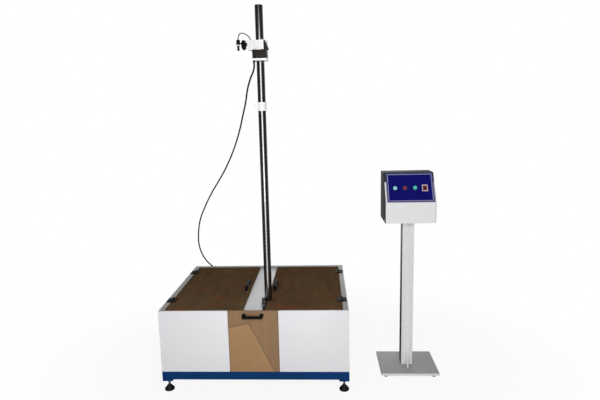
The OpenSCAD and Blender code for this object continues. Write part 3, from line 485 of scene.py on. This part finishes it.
def kraft_film(rgb_shown):
    """Brown paper film, torn off along a brow and a slant, so that two layers show."""
    f = Finish("Kraft film")
    rgb = seen(rgb_shown)
    x, _, z = f.axes(f.local(spot(0, 0, 0)))
    fibres = f.noise(900, detail=3, rough=0.7, stretch=(0.12, 1, 1))
    cloud = f.noise(9, detail=6, rough=0.6)
    bands = f.noise(30, detail=3, stretch=(1, 1, 0.12))
    ragged = (f.noise(24, detail=5, rough=0.7) - 0.5) * 0.016
    # the torn layer's edge: a brow that rises to its peak, then a slant down to the right,
    # each given by a point on it and its slope
    slant_x, slant_z, slant_run = -0.026, 0.381, 0.483
    brow_x, brow_z, brow_rise = -0.119, 0.3615, 0.212
    slant = (slant_z - z) * slant_run + slant_x - x + ragged
    brow = (x - brow_x) * brow_rise + brow_z - z + ragged
    fold = slant.math("MINIMUM", brow)
    low = fold.within(-0.0012, 0.0012)
    # along the torn edge: a painted highlight on one side of the fold, and painted shade on
    # its other side
    fold_highlight = (1 - abs(fold - 0.005) / 0.006).math("MULTIPLY", z.within(0.10, 0.22), clamp=True)
    fold_shade = (1 - abs(fold + 0.007) / 0.009).math("MULTIPLY", 1, clamp=True)
    upper = (rgb[0] * 0.74, rgb[1] * 0.76, rgb[2] * 0.86)
    tone = f.mix(upper, rgb, low)
    stain = (rgb[0] * 0.70, rgb[1] * 0.62, rgb[2] * 0.55)
    ruddy = (rgb[0] * 1.16, rgb[1] * 1.00, rgb[2] * 0.95)
    tone = f.mix(tone, stain, cloud.within(0.5, 0.9) * 0.5)
    tone = f.mix(tone, ruddy, bands.within(0.5, 0.8) * 0.4)
    tone = f.mix(tone, shade(rgb, 1.28), fold_highlight * 0.55)
    tone = f.mix(tone, shade(rgb, 0.48), fold_shade * 0.40)
    tone = f.mix(tone, shade(rgb, 0.60), fibres.within(0.5, 0.9) * 0.25)
    # two nicks near the torn edge, one above the other
    nick_x, nick_radius = -0.1275, 0.00316
    nicks = 0
    for height in (0.2177, 0.1951):
        gap = (x - nick_x) * (x - nick_x) + (z - height) * (z - height)
        nicks = (gap < nick_radius ** 2) + nicks
    f.set(Base_Color=f.mix(tone, (0.05, 0.035, 0.028), nicks * 0.8),
          Roughness=fibres * 0.12 + 0.60, Specular_IOR_Level=0.2)
    return f.relief(fibres * 0.4 + low * 0.5, 0.25, 0.0004).material


def printed_panel(rgb_shown, border_shown, centre, turn, half_w, half_h):
    """Blue printed film with a greyer border and a thin light line set in from it."""
    f = Finish("Blue printed film")
    rgb, border = seen(rgb_shown), seen(border_shown)
    x, y, _ = f.axes(f.local(centre, (turn, 0, 0)))
    inset, half_line = 0.0095, 0.0013
    reach = (abs(x) - (half_w - inset)).math("MAXIMUM", abs(y) - (half_h - inset))
    line = (1 - (abs(reach) - half_line) / 0.0006).math("MULTIPLY", 1, clamp=True)
    cloud = f.noise(16, detail=4)
    body = f.mix(shade(rgb, 0.80), (rgb[0] * 1.4, rgb[1] * 1.2, rgb[2] * 1.1), cloud)
    body = f.mix(body, border, reach > 0)
    f.set(Base_Color=f.mix(body, (0.36, 0.36, 0.56), line * 0.8),
          Roughness=cloud * 0.10 + 0.40, Specular_IOR_Level=0.08)
    return f.relief(f.noise(2200, detail=2) + line * 0.6, 0.10, 0.0002).material


def bezel_finish(ring_shown, frame_shown, edge_x):
    """Dark rings on the left, and a light switch frame right of an edge."""
    f = Finish("Bezels")
    frame_side = f.axes()[0] > edge_x
    haze = f.noise(90, detail=4)
    tone = f.mix(seen(ring_shown), seen(frame_shown), frame_side)
    f.set(Base_Color=f.mix(tone, (0, 0, 0), haze * 0.2),
          Roughness=haze * 0.08 + 0.30, Specular_IOR_Level=0.4)
    return f.relief(f.noise(1500, detail=2), 0.05, 0.0001).material


def lens(name, shown, rough=0.16):
    """Coloured clear plastic with a fine pattern moulded inside."""
    f = Finish(name)
    rgb = seen(shown)
    facets = f.cells(420)
    f.set(Base_Color=f.mix(shade(rgb, 0.72), shade(rgb, 1.25), facets.within(0.1, 0.7)),
          Roughness=facets * 0.06 + rough, Coat_Weight=0.5, Coat_Roughness=0.06)
    return f.relief(facets, 0.10, 0.0003).material


def circuit_board():
    """Green board with tracks and tinned pads."""
    f = Finish("Board green")
    pads = f.cells(260)
    tracks = f.noise(240, detail=1, stretch=(1, 0.15, 1))
    green = f.mix((0.012, 0.11, 0.035), (0.03, 0.19, 0.06), tracks.within(0.48, 0.52))
    f.set(Base_Color=f.mix((0.55, 0.55, 0.50), green, pads.within(0.12, 0.16)),
          Roughness=tracks * 0.1 + 0.38)
    return f.relief(tracks, 0.2, 0.0002).material


def make_finishes():
    """Every material, under the name of the record's slot."""
    c = bpy.context.scene.tester_colours
    slope = blue_panel_place()
    return {
        "white_paint": baked_paint("White paint", c.white),
        "blue_paint": baked_paint("Blue paint", c.blue, uneven=0.18, gloss=0.08),
        "rim_paint": baked_paint("Rim paint", c.rim, uneven=0.10, gloss=0.12),
        "frame_paint": baked_paint("Frame paint", (0.11, 0.115, 0.115), gloss=0.04),
        "pan_steel": brushed("Pan steel", 0.62, along="x"),
        "strip_paint": baked_paint("Strip paint", c.strip),
        "seal_rubber": rubber(),
        "column_black": enamel_black(),
        "steel": brushed("Ground steel", 0.58, along="x"),
        "bolt_steel": brushed("Bolt steel", 0.50, rough=0.36),
        "hinge_black": baked_paint("Hinge black", c.black, gloss=0.02),
        "ball_steel": polished("Ball steel", 0.06),
        "foot_plastic": two_levels("Feet", FOOT_PLASTIC_TOP, (c.black, 0.0, 0.45),
                                   ((0.62, 0.63, 0.64), 0.9, 0.30)),
        "lid_brown": lid_film(c.lid),
        "kraft_film": kraft_film(c.kraft),
        "black_plastic": moulded("Black plastic", c.black, gloss=0.03),
        "alloy": milled_alloy("Milled alloy", 0.97, 0.45, metallic=0.05),
        # the black alloy's brown patches are a painted reflection of the brown lids
        "dark_alloy": milled_alloy("Black alloy", 0.012, 0.5, metallic=0.0, lid_reflection=1.8,
                                   gloss=0.08),
        "bush_plastic": moulded("Bush plastic", (0.86, 0.86, 0.85)),
        "screw_steel": polished("Screw steel", 0.18),
        "cable_rubber": moulded("Cable jacket", (0.07, 0.07, 0.075), rough=0.52),
        # the base plate: light grey on its front face, and painted shade on its top and sides
        "stand_grey": paint_and_painted_shade("Base plate grey", c.light_grey, c.base_plate_shaded_grey,
                                 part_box("stand_base")[0].y + BASE_FRONT_DEPTH),
        # the post: light grey in front, and charcoal as painted shade on its sides and back
        "post_grey": paint_and_painted_shade("Post grey", c.light_grey, c.charcoal, POST_FRONT_END),
        "charcoal_paint": baked_paint("Charcoal paint", c.charcoal, rough=0.55, grain=900,
                                      uneven=0.10, gloss=0.06),
        "blue_print": printed_panel(c.panel, c.border, *slope),
        "bezel_chrome": bezel_finish(c.bezel, c.switch, SWITCH_FRAME_START),
        "lamp_green": lens("Lamp green", c.lamp),
        "button_red": lens("Button red", c.red, rough=0.22),
        "button_green": lens("Button green", c.green, rough=0.22),
        "rocker_red": lens("Rocker red", c.rocker, rough=0.2),
        "supply_metal": brushed("Supply metal", 0.6, along="x"),
        "board_green": circuit_board(),
    }


FINISHES = {}


def blue_panel_place():
    """The blue panel's centre, the slope's angle and half its width and length."""
    low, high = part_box("blue_panel")
    rise, run = high.z - low.z, high.y - low.y
    half_width, half_length = (high.x - low.x) / 2, math.hypot(rise, run) / 2
    return (low + high) / 2, math.atan2(rise, run), half_width, half_length


# ------------------------------------------------------------------ modelling helpers


def only(piece):
    """Selects one piece alone and makes it active."""
    for other in bpy.context.scene.objects:
        other.select_set(False)
    piece.select_set(True)
    bpy.context.view_layer.objects.active = piece


def editing(piece):
    """Opens a piece in edit mode with all of it selected."""
    only(piece)
    bpy.ops.object.mode_set(mode="EDIT")
    bpy.ops.mesh.select_all(action="SELECT")


def done_editing():
    """Leaves edit mode and gives back the piece."""
    bpy.ops.object.mode_set(mode="OBJECT")
    return bpy.context.object


def select_faces(piece, keep):
    """In edit mode, selects only the faces that keep says yes to."""
    bpy.ops.mesh.select_all(action="DESELECT")
    bpy.ops.object.mode_set(mode="OBJECT")
    for face in piece.data.polygons:
        face.select = bool(keep(face))
    bpy.ops.object.mode_set(mode="EDIT")
    bpy.ops.mesh.select_mode(type="FACE")


def settle(piece):
    """Moves a piece's place and turn into its mesh."""
    only(piece)
    bpy.ops.object.transform_apply(location=True, rotation=True, scale=True)
    return piece


def rounded(piece, width, steps=3, angle=35):
    """Rounds the sharp edges of a piece and applies that."""
    only(piece)
    bevel = piece.modifiers.new("Rounded edges", "BEVEL")
    bevel.width = width
    bevel.segments = steps
    bevel.limit_method = "ANGLE"
    bevel.angle_limit = math.radians(angle)
    bevel.use_clamp_overlap = True
    bpy.ops.object.modifier_apply(modifier=bevel.name)
    bpy.ops.object.shade_smooth_by_angle(angle=math.radians(40))
    return piece


def dress(piece, body, slot, finish=None):
    """Gives a new piece the finish of its slot and the body that it moves with."""
    piece.data.materials.clear()
    piece.data.materials.append(FINISHES[finish or slot])
    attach(piece, body)
    return piece


def copy_of(node, name):
    """A merged copy of a CAD node's mesh, as a new piece."""
    piece = bpy.data.objects.new(name, NODES[node].data.copy())
    bpy.context.scene.collection.objects.link(piece)
    editing(piece)
    bpy.ops.mesh.customdata_custom_splitnormals_clear()
    bpy.ops.mesh.remove_doubles(threshold=2e-6)
    bpy.ops.mesh.dissolve_limited(angle_limit=math.radians(0.5))
    return done_editing()


def copies(piece, places, name):
    """Copies of a piece at each matrix, joined into one piece with its own mesh."""
    made = []
    for matrix in places:
        twin = piece.copy()
        twin.data = piece.data.copy()
        twin.data.transform(matrix)
        bpy.context.scene.collection.objects.link(twin)
        made.append(twin)
    bpy.data.objects.remove(piece)
    only(made[0])
    for twin in made:
        twin.select_set(True)
    if len(made) > 1:
        bpy.ops.object.join()
    made[0].name = name
    made[0].data.name = name
    return made[0]


def facing(direction):
    """The turn that points +Z along a direction."""
    return Vector(direction).normalized().to_track_quat("Z", "Y").to_matrix().to_4x4()


def at(point, direction=(0, 0, 1), turn=0.0):
    """A place with +Z along a direction, turned round it by so many degrees."""
    return (Matrix.Translation(point) @ facing(direction)
            @ Matrix.Rotation(math.radians(turn), 4, "Z"))


def smooth_line(points, steps):
    """A smooth line through points, with so many steps between two of them."""
    line = []
    last = len(points) - 1
    for i in range(last):
        b, c = points[i], points[i + 1]
        a = 2 * b - c if i == 0 else points[i - 1]
        d = 2 * c - b if i == last - 1 else points[i + 2]
        for k in range(steps):
            t = k / steps
            line.append(0.5 * (2 * b + (c - a) * t + (2 * a - 5 * b + 4 * c - d) * t * t
                               + (3 * b - a - 3 * c + d) * t * t * t))
    return line + [points[last]]


def tube(name, line, radius, sides=16):
    """A round tube along a line, closed at its ends."""
    verts, faces = [], []
    count = len(line)
    side = None
    for i, point in enumerate(line):
        ahead = (line[min(i + 1, count - 1)] - line[max(i - 1, 0)]).normalized()
        if side is None:
            side = ahead.orthogonal().normalized()
        side = (side - ahead * side.dot(ahead)).normalized()
        up = ahead.cross(side)
        for k in range(sides):
            angle = 2 * math.pi * k / sides
            verts.append(point + radius * (math.cos(angle) * side + math.sin(angle) * up))
    for i in range(count - 1):
        for k in range(sides):
            a, b = i * sides + k, i * sides + (k + 1) % sides
            faces.append((a, b, b + sides, a + sides))
    faces.append(tuple(range(sides - 1, -1, -1)))
    faces.append(tuple((count - 1) * sides + k for k in range(sides)))
    mesh = bpy.data.meshes.new(name)
    mesh.from_pydata([tuple(v) for v in verts], [], faces)
    mesh.validate()
    piece = bpy.data.objects.new(name, mesh)
    bpy.context.scene.collection.objects.link(piece)
    only(piece)
    bpy.ops.object.shade_smooth_by_angle(angle=math.radians(40))
    return piece


def line_length(line):
    """The sum of the steps along a line."""
    return sum((b - a).length for a, b in zip(line, line[1:]))


# ------------------------------------------------------------------ operators


class TESTER_OT_stage(bpy.types.Operator):
    """Add the camera, the floor and the lights."""

    bl_idname = "tester.stage"
    bl_label = "Stage"

    def execute(self, context):
        scene = context.scene
        scene.view_settings.view_transform = "Standard"
        data = bpy.data.cameras.new("Camera")
        data.sensor_width = 36
        data.lens = CAMERA_LENS
        camera = bpy.data.objects.new("Camera", data)
        scene.collection.objects.link(camera)
        ahead = Vector((math.sin(YAW) * math.cos(PITCH), math.cos(YAW) * math.cos(PITCH),
                        -math.sin(PITCH)))
        right = Vector((math.cos(YAW), -math.sin(YAW), 0))
        up = right.cross(ahead)
        right, up = (math.cos(ROLL) * right + math.sin(ROLL) * up,
                     -math.sin(ROLL) * right + math.cos(ROLL) * up)
        turn = Matrix((right, up, -ahead)).transposed().to_4x4()
        camera.matrix_world = Matrix.Translation(CAMERA_PLACE) @ turn
        scene.camera = camera

        bpy.ops.object.select_all(action="DESELECT")
        bpy.ops.mesh.primitive_circle_add(vertices=96, radius=14, fill_type="NGON",
                                          location=(0, 0, -0.0005))
        floor = settle(context.object)
        floor.name = "floor"
        floor.data.materials.append(self.floor_finish())

        self.studio(scene)
        for name, setting in LAMPS.items():
            self.lamp(name, *setting)
        return {"FINISHED"}

    def studio(self, scene):
        """A plain sky that shows as white, and less bright in gloss towards the front."""
        world = bpy.data.worlds.new("Studio")
        scene.world = world
        world.use_nodes = True
        world.node_tree.nodes.clear()
        g = Graph(world.node_tree)
        white = g.node("ShaderNodeBackground", {}, {"Strength": g.backdrop(0.25, 0.95)})
        plain = g.node("ShaderNodeBackground", {}, {"Strength": 0.32})
        for background in (white, plain):
            background.socket.node.inputs["Color"].default_value = (1, 1, 1, 1)
        both = g.node("ShaderNodeMixShader", {}, [g.background_rays(), plain, white])
        g.node("ShaderNodeOutputWorld", {}, {"Surface": both}, output=None)

    def floor_finish(self):
        """A pale floor that turns white further out, and keeps the shadows near by."""
        f = Finish("Pale floor")
        grain = f.noise(30, detail=4)
        f.set(Base_Color=f.mix((0.90, 0.90, 0.90), (0.93, 0.93, 0.93), grain),
              Roughness=0.9, Specular_IOR_Level=0.1)
        x, y, _ = f.axes()
        far = (x * x / 2.2 + y * y / 1.4).within(0.35, 1.5)
        # a lane on the floor towards the key light that glows for gloss rays alone, a painted
        # light that the column's lower half mirrors as a highlight
        start, drift, half_width, glow = 0.9, 0.038, 0.30, 3.2
        reach = (y - COLUMN.y) * -1
        aside = abs(x - COLUMN.x - reach * drift) / reach.math("MAXIMUM", 0.1)
        glow_lane = (half_width - aside).within(0, 0.06) * (reach > start)
        white = f.node("ShaderNodeEmission", {}, {
            "Color": (1, 1, 1, 1),
            "Strength": f.backdrop(0.4, 3.0).math("MAXIMUM", glow_lane * glow * f.ray("Glossy"))})
        share = (0.90 + far * 0.10) * f.background_rays()
        both = f.node("ShaderNodeMixShader", {}, [share])
        mixer = both.socket.node
        f.tree.links.new(f.shader.outputs[0], mixer.inputs[1])
        f.tree.links.new(white.socket, mixer.inputs[2])
        f.tree.links.new(both.socket, f.tree.nodes["Material Output"].inputs["Surface"])
        return f.relief(grain, 0.02, 0.0005).material

    def lamp(self, name, place, aim, size, watts):
        """Adds an area lamp that looks at a point."""
        data = bpy.data.lights.new(name, "AREA")
        data.shape = "RECTANGLE"
        data.size, data.size_y = size
        data.energy = watts
        lamp = bpy.data.objects.new(name, data)
        bpy.context.scene.collection.objects.link(lamp)
        lamp.location = place
        away = Vector(place) - Vector(aim)
        lamp.rotation_euler = away.to_track_quat("Z", "Y").to_euler()


class TESTER_OT_cables(bpy.types.Operator):
    """Lay the magnet cable and the magnet's short lead."""

    bl_idname = "tester.cables"
    bl_label = "Cables"

    def execute(self, context):
        FINISHES.update(make_finishes())
        sizes = context.scene.tester_sizes
        line = smooth_line([spot(*p) for p in CABLE_ROUTE], 6)
        cable = tube("magnet_cable_run", line, sizes.cable / 2)
        cable.data.materials.append(FINISHES["cable_rubber"])
        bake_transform(cable)
        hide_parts("magnet_cable")
        line_length(line)

        low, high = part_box("magnet_body")
        head = Matrix.Rotation(HEAD_TURN, 4, "Z")
        start = Vector(((low.x + high.x) / 2, (low.y + high.y) / 2, high.z))
        lead_line = smooth_line([start + head @ (Vector(p) / 1000) for p in LEAD_ROUTE], 6)
        lead = tube("magnet_lead_run", lead_line, sizes.lead / 2)
        dress(lead, "head", "cable_rubber")
        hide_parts("magnet_lead")
        line_length(lead_line)
        return {"FINISHED"}


class TESTER_OT_rounded_parts(bpy.types.Operator):
    """Round the edges of the sheets, plates and blocks, which stay in their places."""

    bl_idname = "tester.rounded_parts"
    bl_label = "Rounded parts"

    def execute(self, context):
        sizes = context.scene.tester_sizes
        groups = (
            (sizes.panel_round, ("front_panels", "side_panels", "rear_panel", "slide_panel",
                                 "lid_left", "lid_right", "centre_strip", "stand_base",
                                 "console_shell")),
            (sizes.plate_round, ("slider_plate", "slider_block", "head_block",
                                 "head_side_plate", "stop_collar", "column_toe",
                                 "stand_post", "impact_plate", "clamp_frame",
                                 "hinge_leaves_fixed", "hinge_leaves_left",
                                 "hinge_leaves_right", "top_rim", "column",
                                 "clamp_knob", "magnet_body", "control_bezels")),
            (sizes.grip_round, ("lid_handle_left", "lid_handle_right")),
            (sizes.frame_round, ("base_frame",)),
        )
        for width, nodes in groups:
            for node in nodes:
                piece = copy_of(node, node + "_rounded")
                rounded(piece, width, sizes.round_steps)
                dress(piece, BODY_OF[node], SLOT_OF[node])
                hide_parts(node)
        return {"FINISHED"}


class TESTER_OT_carried_over(bpy.types.Operator):
    """Finish the CAD pieces that stay as they are."""

    bl_idname = "tester.carried_over"
    bl_label = "Carried-over parts"

    def execute(self, context):
        for node, piece in NODES.items():
            finish = FINISHES[SLOT_OF[node]]
            if piece.material_slots:
                for slot in piece.material_slots:
                    slot.material = finish
            else:
                piece.data.materials.append(finish)
        ring_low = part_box("magnet_body")[0].z - RING_HEIGHT
        NODES["magnet_pole"].material_slots[0].material = two_levels(
            "Magnet pole", ring_low, ((0.10, 0.10, 0.11), 0.6, 0.35),
            ((0.97, 0.97, 0.97), 0.0, 0.30))
        return {"FINISHED"}


def screw_head(diameter, height, socket=True):
    """A domed screw head with a round socket, standing up from z = 0."""
    bpy.ops.object.select_all(action="DESELECT")
    bpy.ops.mesh.primitive_cylinder_add(vertices=24, radius=diameter / 2, depth=height,
                                        location=(0, 0, height / 2))
    head = settle(bpy.context.object)
    editing(head)
    select_faces(head, lambda f: f.normal.z > 0.9)
    bpy.ops.mesh.inset(thickness=diameter * 0.10, depth=height * 0.18)
    if socket:
        bpy.ops.mesh.inset(thickness=diameter * 0.14, depth=0)
        bpy.ops.mesh.inset(thickness=diameter * 0.02, depth=-height * 0.6)
    done_editing()
    bpy.ops.object.shade_smooth_by_angle(angle=math.radians(30))
    return head


class TESTER_OT_screws(bpy.types.Operator):
    """Add the screws that hold the hinges, the toe, the panels and the console."""

    bl_idname = "tester.screws"
    bl_label = "Screws"

    def execute(self, context):
        sizes = context.scene.tester_sizes
        self.hinge_screws(sizes.hinge_screw)
        self.toe_screws(sizes.toe_screw)
        self.panel_screws(sizes.screw)
        self.console_screws(sizes.screw * 0.8)
        self.knob_cap(sizes.knob_insert)
        return {"FINISHED"}

    def hinge_screws(self, diameter):
        """Countersunk screws in the holes of each hinge leaf."""
        # the screws' x and z of each piece's leaves, in millimetres
        rows = {
            "hinge_leaves_fixed": ((-488, 488), 456.8),
            "hinge_leaves_left": ((-452,), 457.1),
            "hinge_leaves_right": ((452,), 457.1),
        }
        for node, (across, z) in rows.items():
            places = [at(spot(x, y + side, z))
                      for x in across for y in HINGES for side in (-20, 20)]
            piece = copies(screw_head(diameter, 0.0014), places, node + "_screws")
            dress(piece, BODY_OF[node], "hinge_black")

    def toe_screws(self, diameter):
        """Two cap screws in the toe's foot."""
        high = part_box("column_toe")[1]
        places = [at(Vector((high.x - 0.009, spot(0, y, 0).y, high.z - 0.004)))
                  for y in (130, 80)]
        piece = copies(screw_head(diameter, 0.0034), places, "toe_screws")
        dress(piece, "cabinet", "screw_steel")

    def panel_screws(self, diameter):
        """Pan-head screws along the rear panel and the sides, each turned its own way."""
        places = []
        for z in (135, 275, 420):
            for x in (-480, -240, 0, 240, 480):
                places.append(at(spot(x, DEPTH, z), (0, 1, 0), x + z * 0.09))
            for side in (-1, 1):
                for y in (18, 270, 530, 782):
                    places.append(at(spot(side * HALF_WIDTH, y, z), (side, 0, 0), y))
        piece = copies(screw_head(diameter, 0.0028), places, "panel_screws")
        dress(piece, "cabinet", "screw_steel")

    def console_screws(self, diameter):
        """Pan-head screws in the shell's back and sides, each turned its own way."""
        low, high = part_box("console_shell")
        places = []
        for x in (low.x + 0.014, high.x - 0.014):
            for z in (low.z + 0.016, high.z - 0.016):
                places.append(at(Vector((x, high.y, z)), (0, 1, 0), 400 * x))
        for side, x in ((-1, low.x), (1, high.x)):
            for y in (low.y + 0.02, high.y - 0.02):
                places.append(at(Vector((x, y, low.z + 0.014)), (side, 0, 0), 900 * y))
        piece = copies(screw_head(diameter, 0.0024), places, "console_screws")
        dress(piece, "cabinet", "screw_steel")

    def knob_cap(self, diameter):
        """A light insert in the middle of the clamp knob."""
        head = Matrix.Rotation(HEAD_TURN, 3, "Z")
        axis = head @ Vector((-1, 0, 0))
        hub = COLUMN + head @ KNOB_FACE
        piece = copies(screw_head(diameter, 0.0014), [at(hub, axis)], "knob_insert")
        dress(piece, "knob", "bezel_chrome")


class TESTER_PT_panel(bpy.types.Panel):
    """Shows the steps and the settings in the 3D view's sidebar."""

    bl_label = "Impact tester"
    bl_idname = "TESTER_PT_panel"
    bl_space_type = "VIEW_3D"
    bl_region_type = "UI"
    bl_category = "Impact tester"

    def draw(self, context):
        layout = self.layout
        for operator in OPERATORS:
            layout.operator(operator.bl_idname)
        for group in (context.scene.tester_sizes, context.scene.tester_colours):
            box = layout.box()
            for name in group.bl_rna.properties.keys():
                if name not in ("rna_type", "name"):
                    box.prop(group, name)


OPERATORS = (TESTER_OT_stage, TESTER_OT_cables, TESTER_OT_rounded_parts,
             TESTER_OT_carried_over, TESTER_OT_screws)
CLASSES = (TesterColours, TesterSizes, *OPERATORS, TESTER_PT_panel)


def register():
    for item in CLASSES:
        bpy.utils.register_class(item)
    bpy.types.Scene.tester_colours = PointerProperty(type=TesterColours)
    bpy.types.Scene.tester_sizes = PointerProperty(type=TesterSizes)


def unregister():
    del bpy.types.Scene.tester_sizes
    del bpy.types.Scene.tester_colours
    for item in reversed(CLASSES):
        bpy.utils.unregister_class(item)


def main():
    register()
    bpy.ops.tester.stage()
    bpy.ops.tester.cables()
    bpy.ops.tester.rounded_parts()
    bpy.ops.tester.carried_over()
    bpy.ops.tester.screws()


if __name__ == "__main__":
    main()
